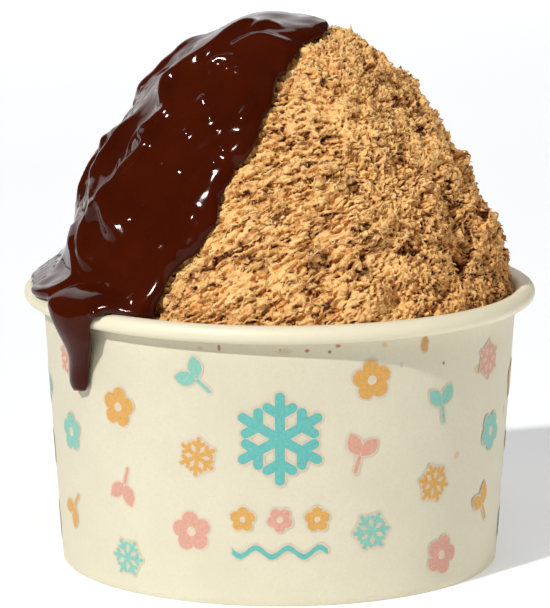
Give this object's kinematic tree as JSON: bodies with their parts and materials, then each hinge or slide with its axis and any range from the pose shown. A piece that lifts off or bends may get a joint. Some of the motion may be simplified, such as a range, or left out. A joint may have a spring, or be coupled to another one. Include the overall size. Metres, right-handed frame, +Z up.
{
  "type": "shaved ice dessert in a paper tub",
  "caption": "Tapered paper tub heaped with a dome of coffee-coloured shaved ice, with chocolate sauce poured down one side and dripping over the rim.",
  "frame": {"origin": "on the tub's axis, at the foot that it stands on", "axes": "+Z up along the tub's axis, -Y towards the front, +X to the right, away from the sauce"},
  "size_m": [0.1498, 0.1498, 0.1602],
  "materials": {
    "tub_paper": "satin",
    "shaved_ice": "matte",
    "chocolate_sauce": "gloss"
  },
  "bodies": {
    "root": {"bowl_wall": "tub_paper", "bowl_base": "tub_paper", "shaved_ice": "shaved_ice", "chocolate_sauce": "chocolate_sauce"}
  },
  "joints": []
}
